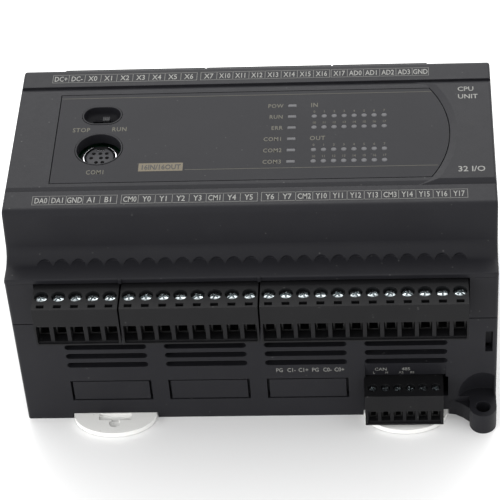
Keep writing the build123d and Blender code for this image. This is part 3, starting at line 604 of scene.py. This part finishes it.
def screw_tree():
    """Row of domed screws with a driver slot and a small cross, each left at its own angle."""
    tree, ins = geometry_tree("Terminal screw row", [
        ("Count", "NodeSocketInt", 5), ("Pitch", "NodeSocketFloat", 5.08 * MM),
        ("Start", "NodeSocketVector", (0, 0, 0)), ("Radius", "NodeSocketFloat", 1.9 * MM),
        ("Head Height", "NodeSocketFloat", 1.2 * MM), ("Dome", "NodeSocketFloat", 0.4 * MM),
        ("Slot Width", "NodeSocketFloat", 0.5 * MM), ("Shank Radius", "NodeSocketFloat", 1.4 * MM),
        ("Shank Length", "NodeSocketFloat", 6 * MM), ("Seed", "NodeSocketInt", 1),
        ("Finish", "NodeSocketMaterial", None)])
    value = ins.outputs
    rings, sides, shank_sides = 6, 40, 16
    long_slot_share, short_slot_share, slot_lift = 2.4, 1.15, 0.42
    shank_drop = -0.495             # a little under half, so that the shank enters the head
    head = add(tree, "GeometryNodeMeshCylinder", Vertices=sides, Radius=value["Radius"],
               Depth=value["Head Height"])
    head.inputs["Fill Segments"].default_value = rings
    place = tree.nodes.new("GeometryNodeInputPosition")
    parts = add(tree, "ShaderNodeSeparateXYZ", Vector=place.outputs[0])
    squared = maths(tree, "ADD", maths(tree, "MULTIPLY", parts.outputs[0], parts.outputs[0]),
                    maths(tree, "MULTIPLY", parts.outputs[1], parts.outputs[1]))
    share = maths(tree, "DIVIDE", squared, maths(tree, "MULTIPLY", value["Radius"], value["Radius"]))
    drop = maths(tree, "MULTIPLY", share, maths(tree, "MULTIPLY", value["Dome"], -1.0))
    upper = maths(tree, "GREATER_THAN", parts.outputs[2], 0.0)
    crowned = add(tree, "GeometryNodeSetPosition", Geometry=head.outputs[0], Selection=upper,
                  Offset=combine(tree, 0.0, 0.0, drop))
    long_slot = add(tree, "GeometryNodeMeshCube", Size=combine(
        tree, maths(tree, "MULTIPLY", value["Radius"], long_slot_share), value["Slot Width"],
        value["Head Height"]))
    short_slot = add(tree, "GeometryNodeMeshCube", Size=combine(
        tree, value["Slot Width"], maths(tree, "MULTIPLY", value["Radius"], short_slot_share),
        value["Head Height"]))
    lift = combine(tree, 0.0, 0.0, maths(tree, "MULTIPLY", value["Head Height"], slot_lift))
    cut = tree.nodes.new("GeometryNodeMeshBoolean")
    cut.operation = "DIFFERENCE"
    cut.solver = "EXACT"
    link(tree, crowned.outputs[0], cut.inputs["Mesh 1"])
    for slot in (long_slot, short_slot):
        link(tree, moved(tree, slot.outputs[0], lift), cut.inputs["Mesh 2"])
    shank = add(tree, "GeometryNodeMeshCylinder", Vertices=shank_sides, Radius=value["Shank Radius"],
                Depth=value["Shank Length"])
    reach = maths(tree, "ADD", value["Shank Length"], value["Head Height"])
    below = combine(tree, 0.0, 0.0, maths(tree, "MULTIPLY", reach, shank_drop))
    whole = joined(tree, cut.outputs[0], moved(tree, shank.outputs[0], below))
    half_down = maths(tree, "MULTIPLY", value["Head Height"], -0.5)
    centred = moved(tree, whole, combine(tree, 0.0, 0.0, half_down))
    points = add(tree, "GeometryNodeMeshLine", Count=value["Count"], Start_Location=value["Start"],
                 Offset=combine(tree, value["Pitch"], 0.0, 0.0))
    angle = tree.nodes.new("FunctionNodeRandomValue")
    angle.data_type = "FLOAT"
    angle.inputs[3].default_value = math.tau
    link(tree, value["Seed"], angle.inputs["Seed"])
    placed = add(tree, "GeometryNodeInstanceOnPoints", Points=points.outputs[0], Instance=centred,
                 Rotation=combine(tree, 0.0, 0.0, angle.outputs[1]))
    end_tree(tree, placed.outputs[0], value["Finish"])
    return tree


def window_tree():
    """Grid of rounded indicator windows with a slight crown."""
    tree, ins = geometry_tree("Indicator windows", [
        ("Columns", "NodeSocketInt", 8), ("Rows", "NodeSocketInt", 2),
        ("Column Pitch", "NodeSocketFloat", 3.04 * MM), ("Row Pitch", "NodeSocketFloat", 5.17 * MM),
        ("Start", "NodeSocketVector", (0, 0, 0)), ("Width", "NodeSocketFloat", 1.66 * MM),
        ("Height", "NodeSocketFloat", 1.66 * MM), ("Corner", "NodeSocketFloat", 0.8 * MM),
        ("Depth", "NodeSocketFloat", 2 * MM), ("Crown", "NodeSocketFloat", 0.1 * MM),
        ("Finish", "NodeSocketMaterial", None)])
    value = ins.outputs
    corner_points, crown_share, weld = 6, 0.7, 0.001 * MM
    outline = add(tree, "GeometryNodeCurvePrimitiveQuadrilateral", Width=value["Width"],
                  Height=value["Height"])
    rounded = tree.nodes.new("GeometryNodeFilletCurve")
    rounded.mode = "POLY"
    link(tree, outline.outputs[0], rounded.inputs["Curve"])
    rounded.inputs["Count"].default_value = corner_points
    link(tree, value["Corner"], rounded.inputs["Radius"])
    rounded.inputs["Limit Radius"].default_value = True
    filled = tree.nodes.new("GeometryNodeFillCurve")
    filled.mode = "NGONS"
    link(tree, rounded.outputs[0], filled.inputs["Curve"])
    body = add(tree, "GeometryNodeExtrudeMesh", Mesh=filled.outputs[0], Offset_Scale=value["Depth"])
    bevelled = tree.nodes.new("GeometryNodeExtrudeMesh")
    link(tree, body.outputs["Mesh"], bevelled.inputs["Mesh"])
    link(tree, body.outputs["Top"], bevelled.inputs["Selection"])
    link(tree, value["Crown"], bevelled.inputs["Offset Scale"])
    crown = tree.nodes.new("GeometryNodeScaleElements")
    link(tree, bevelled.outputs["Mesh"], crown.inputs["Geometry"])
    link(tree, bevelled.outputs["Top"], crown.inputs["Selection"])
    crown.inputs["Scale"].default_value = crown_share
    back = add(tree, "GeometryNodeFlipFaces", Mesh=filled.outputs[0])
    shell = joined(tree, crown.outputs[0], back.outputs[0])
    closed = add(tree, "GeometryNodeMergeByDistance", Geometry=shell, Distance=weld)
    deep = maths(tree, "MULTIPLY", maths(tree, "ADD", value["Depth"], value["Crown"]), -1.0)
    centred = moved(tree, closed.outputs[0], combine(tree, 0.0, 0.0, deep))
    columns = add(tree, "GeometryNodeMeshLine", Count=value["Columns"], Start_Location=value["Start"],
                  Offset=combine(tree, value["Column Pitch"], 0.0, 0.0))
    rows = add(tree, "GeometryNodeMeshLine", Count=value["Rows"],
               Offset=combine(tree, 0.0, maths(tree, "MULTIPLY", value["Row Pitch"], -1.0), 0.0))
    row = add(tree, "GeometryNodeInstanceOnPoints", Points=columns.outputs[0], Instance=centred)
    grid = add(tree, "GeometryNodeInstanceOnPoints", Points=rows.outputs[0], Instance=row.outputs[0])
    end_tree(tree, grid.outputs[0], value["Finish"])
    return tree


def frame_tree():
    """Row of thin printed boxes, one round each terminal name."""
    tree, ins = geometry_tree("Label boxes", [
        ("Count", "NodeSocketInt", 5), ("Pitch", "NodeSocketFloat", 5.0 * MM),
        ("Start", "NodeSocketVector", (0, 0, 0)), ("Height", "NodeSocketFloat", 4 * MM),
        ("Line", "NodeSocketFloat", 0.15 * MM), ("Thickness", "NodeSocketFloat", 0.04 * MM),
        ("Finish", "NodeSocketMaterial", None)])
    value = ins.outputs
    upright = add(tree, "GeometryNodeMeshCube",
                  Size=combine(tree, value["Line"], value["Height"], value["Thickness"]))
    edges = add(tree, "GeometryNodeMeshLine", Count=maths(tree, "ADD", value["Count"], 1.0),
                Start_Location=value["Start"], Offset=combine(tree, value["Pitch"], 0.0, 0.0))
    uprights = add(tree, "GeometryNodeInstanceOnPoints", Points=edges.outputs[0],
                   Instance=upright.outputs[0])
    length = maths(tree, "MULTIPLY", value["Count"], value["Pitch"])
    rail = add(tree, "GeometryNodeMeshCube", Size=combine(
        tree, maths(tree, "SUBTRACT", length, value["Line"]), value["Line"], value["Thickness"]))
    inner = maths(tree, "SUBTRACT", value["Height"], value["Line"])
    corner = add(tree, "ShaderNodeVectorMath", operation="ADD")
    link(tree, value["Start"], corner.inputs[0])
    half_length, half_height = maths(tree, "MULTIPLY", length, 0.5), maths(tree, "MULTIPLY", inner, -0.5)
    link(tree, combine(tree, half_length, half_height, 0.0), corner.inputs[1])
    pair = add(tree, "GeometryNodeMeshLine", Count=2, Start_Location=corner.outputs[0],
               Offset=combine(tree, 0.0, inner, 0.0))
    rails = add(tree, "GeometryNodeInstanceOnPoints", Points=pair.outputs[0], Instance=rail.outputs[0])
    end_tree(tree, joined(tree, uprights.outputs[0], rails.outputs[0]), value["Finish"])
    return tree


# ---------------------------------------------------------------- operators

class CONTROLLER_OT_case(bpy.types.Operator):
    """Finish the moulded shells and the printed panel"""
    bl_idname = "controller.case"
    bl_label = "Case and Panel"

    def execute(self, context):
        case = context.scene.controller_case
        shell = moulded("charcoal moulding", case.colour, grain=case.grain, edge=case.edge_round,
                        dust_colour=case.dust_colour)
        dress(shell, *CASE_NODES)
        panel = moulded("printed panel", case.panel_colour, grain=0.3 * MM, depth=0.008 * MM,
                        edge=0.12 * MM, dust=0.35, wear=0.2, rough=(0.34, 0.46), specular=0.095,
                        dust_colour=case.dust_colour)
        dress(panel, "front_panel")
        return {"FINISHED"}


class CONTROLLER_OT_inside(bpy.types.Operator):
    """Finish the boards, headers and components inside the case"""
    bl_idname = "controller.inside"
    bl_label = "Electronics"

    def execute(self, context):
        board = moulded("green laminate", (0.012, 0.075, 0.035), grain=0.8 * MM, depth=0.01 * MM, dust=0.15,
                        rough=(0.22, 0.35), wear=0.1)
        dress(board, *BOARD_NODES)
        dark = moulded("component black", (0.014, 0.014, 0.015), grain=0.3 * MM, dust=0.15)
        dress(dark, *DARK_PART_NODES, *(name.replace("plug", "header") for name in LONG_PLUGS))
        dress(plated("contact brass", (0.72, 0.53, 0.25)), *BRASS_NODES)
        dress(plated("zinc board screw", (0.55, 0.57, 0.6)), "board_screws", "backup_battery")
        chip = moulded("indicator chip", (0.55, 0.53, 0.4), grain=0.2 * MM, dust=0.0, wear=0.0)
        dress(chip, "indicator_leds")
        return {"FINISHED"}


class CONTROLLER_OT_plugs(bpy.types.Operator):
    """Finish the plug housings and wire clamps"""
    bl_idname = "controller.plugs"
    bl_label = "Terminal Plugs"

    def execute(self, context):
        case = context.scene.controller_case
        black = moulded("plug black", case.plug_colour, grain=0.25 * MM, depth=0.008 * MM, edge=0.14 * MM,
                        dust=0.4, wear=0.6, rough=(0.3, 0.42), specular=0.1, dust_colour=case.dust_colour)
        cage = plated("clamp steel", (0.07, 0.07, 0.07), rough=(0.4, 0.6))
        for name in (*LONG_PLUGS, "plug_comm"):
            dress(black, name)
            dress(cage, name + "_clamps")
        return {"FINISHED"}


class CONTROLLER_OT_screws(bpy.types.Operator):
    """Make the slotted terminal screws of every plug"""
    bl_idname = "controller.screws"
    bl_label = "Terminal Screws"

    def execute(self, context):
        sizes = context.scene.controller_screws
        zinc = plated("bluish zinc", sizes.colour, rough=(0.12, 0.3), tarnish=0.55)
        tree = screw_tree()
        rows = [(name, poles, sizes.radius) for name, poles in LONG_PLUGS.items()]
        rows.append(("plug_comm", COMM_POLES, COMM_SCREW_RADIUS))
        for number, (name, poles, radius) in enumerate(rows):
            low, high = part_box(name + "_screws")
            cad_radius = (high.y - low.y) / 2
            pitch = (high.x - low.x - 2 * cad_radius) / (poles - 1)
            mesh = grow(tree, {
                "Count": poles, "Pitch": pitch, "Radius": radius,
                "Dome": sizes.dome * radius / sizes.radius,
                "Start": (low.x + cad_radius, (low.y + high.y) / 2, high.z),
                "Head Height": HEAD_HEIGHT, "Slot Width": sizes.slot * radius / sizes.radius,
                "Shank Radius": SHANK_SHARE * radius, "Shank Length": (high.z - low.z) - HEAD_HEIGHT,
                "Seed": sizes.seed + number, "Finish": zinc})
            finish_piece(name + "_terminal_screws", mesh, zinc, name, [name + "_screws"])
        return {"FINISHED"}


class CONTROLLER_OT_windows(bpy.types.Operator):
    """Make the indicator windows"""
    bl_idname = "controller.windows"
    bl_label = "Indicator Windows"

    def execute(self, context):
        lens = context.scene.controller_lens
        smoky = moulded("smoky lens", lens.colour, grain=0.15 * MM, depth=0.004 * MM, edge=0.1 * MM,
                        dust=0.3, wear=0.0, rough=(0.25, 0.4), mottling=0.2)
        tree = window_tree()
        sets = (("status_led_lenses", 1, len(STATUS_LABELS), STATUS_WINDOW),
                ("input_led_lenses", SIGNAL_COLUMNS, SIGNAL_ROWS, SIGNAL_WINDOW),
                ("output_led_lenses", SIGNAL_COLUMNS, SIGNAL_ROWS, SIGNAL_WINDOW))
        for name, columns, rows, (width, height, corner) in sets:
            low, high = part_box(name)
            across = (high.x - low.x - width) / max(1, columns - 1)
            down = (high.y - low.y - height) / (rows - 1)
            mesh = grow(tree, {
                "Columns": columns, "Rows": rows, "Column Pitch": across, "Row Pitch": down,
                "Start": (low.x + width / 2, high.y - height / 2, high.z + lens.crown / 2),
                "Width": width, "Height": height, "Corner": corner, "Depth": high.z - low.z - lens.crown,
                "Crown": lens.crown, "Finish": smoky})
            finish_piece(name.replace("lenses", "windows"), mesh, smoky, "root", [name])
        return {"FINISHED"}


class CONTROLLER_OT_strip_print(bpy.types.Operator):
    """Print the terminal names and their boxes on both label strips"""
    bl_idname = "controller.strip_print"
    bl_label = "Terminal Names"

    def execute(self, context):
        sizes = context.scene.controller_legend
        pale = ink("pale ink", sizes.pale_ink)
        level = CAD_BOX[1].z - STRIP_BELOW_TOP
        names = Print(sizes)
        boxes = bmesh.new()
        tree = frame_tree()
        for side, blocks, starts in ((-1, LOWER_LABELS, LOWER_STARTS), (1, UPPER_LABELS, UPPER_STARTS)):
            y = side * sizes.strip_y
            for words, start in zip(blocks, starts):
                words = words.split()
                x0 = start * MM
                for k, word in enumerate(words):
                    width = LONG_NAME_WIDTH if len(word) > 2 else SHORT_NAME_WIDTH
                    names.word(word, x0 + LABEL_PITCH * (k + 0.5), y, level, sizes.capital, width=width)
                mesh = grow(tree, {"Count": len(words), "Pitch": LABEL_PITCH, "Start": (x0, y, level),
                                   "Height": sizes.box_height, "Line": sizes.line,
                                   "Thickness": 2 * sizes.thickness, "Finish": pale})
                boxes.from_mesh(mesh)
                bpy.data.meshes.remove(mesh)
        names.publish("terminal_names", pale)
        mesh = bpy.data.meshes.new("terminal_boxes")
        boxes.to_mesh(mesh)
        boxes.free()
        faint = ink("faint ink", tuple(c * 0.5 for c in sizes.pale_ink))
        finish_piece("terminal_boxes", mesh, faint, "root")
        return {"FINISHED"}


class CONTROLLER_OT_panel_print(bpy.types.Operator):
    """Print the names, numbers and lines on the panel and the raised end"""
    bl_idname = "controller.panel_print"
    bl_label = "Panel Print"

    def execute(self, context):
        sizes = context.scene.controller_legend
        gold = ink("gold ink", sizes.gold_ink)
        pale = ink("pale end ink", sizes.pale_ink)
        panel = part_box("front_panel")[1].z
        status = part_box("status_led_lenses")
        names = Print(sizes)
        for text, x, y, width in PANEL_WORDS:
            names.word(text, x * MM, y * MM, panel, PANEL_CAPITAL, width=width, spacing=PANEL_SPACING)
        height = STATUS_WINDOW[1]
        step = (status[1].y - status[0].y - height) / (len(STATUS_LABELS) - 1)
        for k, text in enumerate(STATUS_LABELS):
            y = status[1].y - height / 2 - step * k
            names.word(text, STATUS_END, y, panel, STATUS_CAPITAL, width=0.76, spacing=PANEL_SPACING,
                       align="RIGHT")
        names.publish("panel_names", gold)

        field = Print(sizes)
        field.bar(*(edge * MM for edge in COUNT_FIELD), panel)
        field.publish("panel_count_field", ink("brass field", (0.105, 0.083, 0.045)))

        # The count lies on its field, so it starts one thickness higher.
        count = Print(sizes)
        count.weight *= COUNT_BOLDER
        count.word("16IN/16OUT", *COUNT_PLACE, panel + sizes.thickness, COUNT_CAPITAL, width=0.74)
        count.publish("panel_count", ink("dark ink", (0.008, 0.006, 0.003)))

        small = Print(sizes)
        for line in PANEL_LINES:
            small.bar(*(edge * MM for edge in line), panel)
        for name in ("input_led_lenses", "output_led_lenses"):
            self.number_windows(small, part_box(name), panel)
        small.publish("panel_numbers", ink("small gold ink", tuple(c * 0.8 for c in sizes.gold_ink)))

        end = Print(sizes)
        for text, x, y, capital, width in END_WORDS:
            end.word(text, x * MM, y * MM, CAD_BOX[1].z, capital * MM, width=width, align="LEFT")
        end.publish("end_names", pale)
        return {"FINISHED"}

    def number_windows(self, small, corners, level):
        """Number one grid of signal windows in octal, each number above its window."""
        low, high = corners
        width, height, _ = SIGNAL_WINDOW
        across = (high.x - low.x - width) / (SIGNAL_COLUMNS - 1)
        down = high.y - low.y - height
        for row in range(SIGNAL_ROWS):
            for k in range(SIGNAL_COLUMNS):
                x = low.x + width / 2 + across * k
                y = high.y - height / 2 - down * row + NUMBER_LIFT
                small.word(str(10 * row + k), x, y, level, NUMBER_CAPITAL, width=0.8)


class CONTROLLER_OT_wall_print(bpy.types.Operator):
    """Print the port names on the lower wall"""
    bl_idname = "controller.wall_print"
    bl_label = "Wall Print"

    def execute(self, context):
        sizes = context.scene.controller_legend
        pale = ink("pale wall ink", tuple(c * 0.9 for c in sizes.pale_ink))
        words = Print(sizes, turn=math.radians(90))
        for k, text in enumerate(WALL_LABELS.split()):
            x = (WALL_START + WALL_PITCH * k) * MM
            words.word(text, x, WALL_HEIGHT, WALL, WALL_CAPITAL, width=0.72)
        words.publish("wall_names", pale)

        # The names over the small plug lie on its sloping recess.
        slope = Print(sizes, turn=math.radians(90) + math.atan2(RECESS_RUN, RECESS_DROP))
        for text, x, z, capital in RECESS_WORDS:
            depth = RECESS_RUN * (RECESS_TOP - z * MM) / RECESS_DROP
            slope.word(text, x * MM, z * MM, WALL - depth, capital * MM, width=0.8)
        slope.publish("recess_names", pale)
        return {"FINISHED"}


class CONTROLLER_OT_socket(bpy.types.Operator):
    """Finish the programming socket and the run switch"""
    bl_idname = "controller.socket"
    bl_label = "Socket and Switch"

    def execute(self, context):
        dress(plated("bright shield", (0.6, 0.6, 0.62), rough=(0.08, 0.16), tarnish=0.15), "com_port_shell")
        dress(moulded("socket insert", (0.04, 0.04, 0.044), grain=0.2 * MM, depth=0.006 * MM, edge=0.1 * MM,
                      dust=0.2), "com_port_insulator")
        dress(moulded("switch black", (0.02, 0.02, 0.021), grain=0.2 * MM, depth=0.006 * MM, edge=0.12 * MM,
                      dust=0.25, rough=(0.26, 0.36)), "run_switch_body", "com_port_body")
        dress(moulded("switch knob", (0.028, 0.028, 0.03), grain=0.2 * MM, depth=0.006 * MM, edge=0.12 * MM,
                      dust=0.25, rough=(0.3, 0.4)), "run_switch_knob")
        return {"FINISHED"}


class CONTROLLER_OT_latches(bpy.types.Operator):
    """Finish the white rail latches"""
    bl_idname = "controller.latches"
    bl_label = "Rail Latches"

    def execute(self, context):
        latch = context.scene.controller_latch
        white = moulded("latch white", latch.colour, grain=0.5 * MM, depth=0.006 * MM, edge=0.3 * MM,
                        dust=0.35, wear=0.1, rough=(0.36, 0.48), dust_colour=(0.4, 0.39, 0.36),
                        mottling=0.03)
        dress(white, "din_latch_left", "din_latch_right")
        return {"FINISHED"}


class CONTROLLER_OT_stage(bpy.types.Operator):
    """Lay the floor and set the lights and the camera"""
    bl_idname = "controller.stage"
    bl_label = "Studio"

    def execute(self, context):
        studio = context.scene.controller_stage
        scene = context.scene
        mesh = bpy.data.meshes.new("floor")
        ground = bmesh.new()
        bmesh.ops.create_grid(ground, x_segments=1, y_segments=1, size=studio.floor_size / 2,
                              matrix=Matrix.Translation((0, 0, CAD_BOX[0].z - FLOOR_GAP)))
        ground.to_mesh(mesh)
        ground.free()
        paper, tree, shader = new_material("paper floor", roughness=0.6)
        tone = object_noise(tree, 14.0, 3.0).outputs["Fac"]
        pale = tuple(c * 0.985 for c in studio.floor_colour)
        link(tree, mix_colour(tree, tone, pale, tuple(studio.floor_colour)), shader.inputs["Base Color"])
        mesh.materials.append(paper)
        floor = bpy.data.objects.new("floor", mesh)
        scene.collection.objects.link(floor)

        world = bpy.data.worlds.new("studio")
        world.use_nodes = True
        sky = world.node_tree.nodes["Background"]
        sky.inputs["Color"].default_value = (1, 1, 1, 1)
        sky.inputs["Strength"].default_value = studio.sky
        scene.world = world
        softbox(*BACK_SOFTBOX, studio.back_light)
        softbox(*SIDE_SOFTBOX, studio.side_light)
        scene.view_settings.view_transform = "Standard"

        forward, right = Vector(CAMERA_FORWARD), Vector(CAMERA_RIGHT)
        up = right.cross(forward)
        turn = Matrix((right, up, -forward)).transposed().to_4x4()
        data = bpy.data.cameras.new("camera")
        data.lens = studio.lens
        data.clip_start = CAMERA_CLIP
        camera = bpy.data.objects.new("camera", data)
        camera.matrix_world = Matrix.Translation(CAMERA_PLACE) @ turn
        scene.collection.objects.link(camera)
        scene.camera = camera
        return {"FINISHED"}


def softbox(name, place, size, power):
    """Square area light that faces the module."""
    data = bpy.data.lights.new(name, "AREA")
    data.shape = "SQUARE"
    data.size = size
    data.energy = power
    made = bpy.data.objects.new(name, data)
    made.location = place
    made.rotation_euler = (-Vector(place)).to_track_quat("-Z", "Y").to_euler()
    bpy.context.scene.collection.objects.link(made)


class CONTROLLER_PT_sidebar(bpy.types.Panel):
    """Lists the settings and the steps."""
    bl_idname = "CONTROLLER_PT_sidebar"
    bl_label = "Programmable Controller"
    bl_space_type = "VIEW_3D"
    bl_region_type = "UI"
    bl_category = "Controller"

    def draw(self, context):
        for key in SETTINGS:
            group = getattr(context.scene, key)
            box = self.layout.box()
            for prop in group.__annotations__:
                box.prop(group, prop)
        for step in STEPS:
            self.layout.operator(step.bl_idname)


SETTINGS = {"controller_case": CaseSettings, "controller_legend": LegendSettings,
            "controller_screws": ScrewSettings, "controller_lens": LensSettings,
            "controller_latch": LatchSettings, "controller_stage": StageSettings}
STEPS = (CONTROLLER_OT_case, CONTROLLER_OT_inside, CONTROLLER_OT_plugs, CONTROLLER_OT_screws,
         CONTROLLER_OT_windows, CONTROLLER_OT_strip_print, CONTROLLER_OT_panel_print,
         CONTROLLER_OT_wall_print, CONTROLLER_OT_socket, CONTROLLER_OT_latches, CONTROLLER_OT_stage)


def register():
    """Register the settings, the steps and the sidebar."""
    for made in (*SETTINGS.values(), *STEPS, CONTROLLER_PT_sidebar):
        bpy.utils.register_class(made)
    for key, group in SETTINGS.items():
        setattr(bpy.types.Scene, key, PointerProperty(type=group))


def unregister():
    """Take everything out again."""
    for key in SETTINGS:
        delattr(bpy.types.Scene, key)
    for made in reversed((*SETTINGS.values(), *STEPS, CONTROLLER_PT_sidebar)):
        bpy.utils.unregister_class(made)


def main():
    """Build every piece in order."""
    register()
    for step in STEPS:
        space, verb = step.bl_idname.split(".")
        getattr(getattr(bpy.ops, space), verb)()


if __name__ == "__main__":
    main()
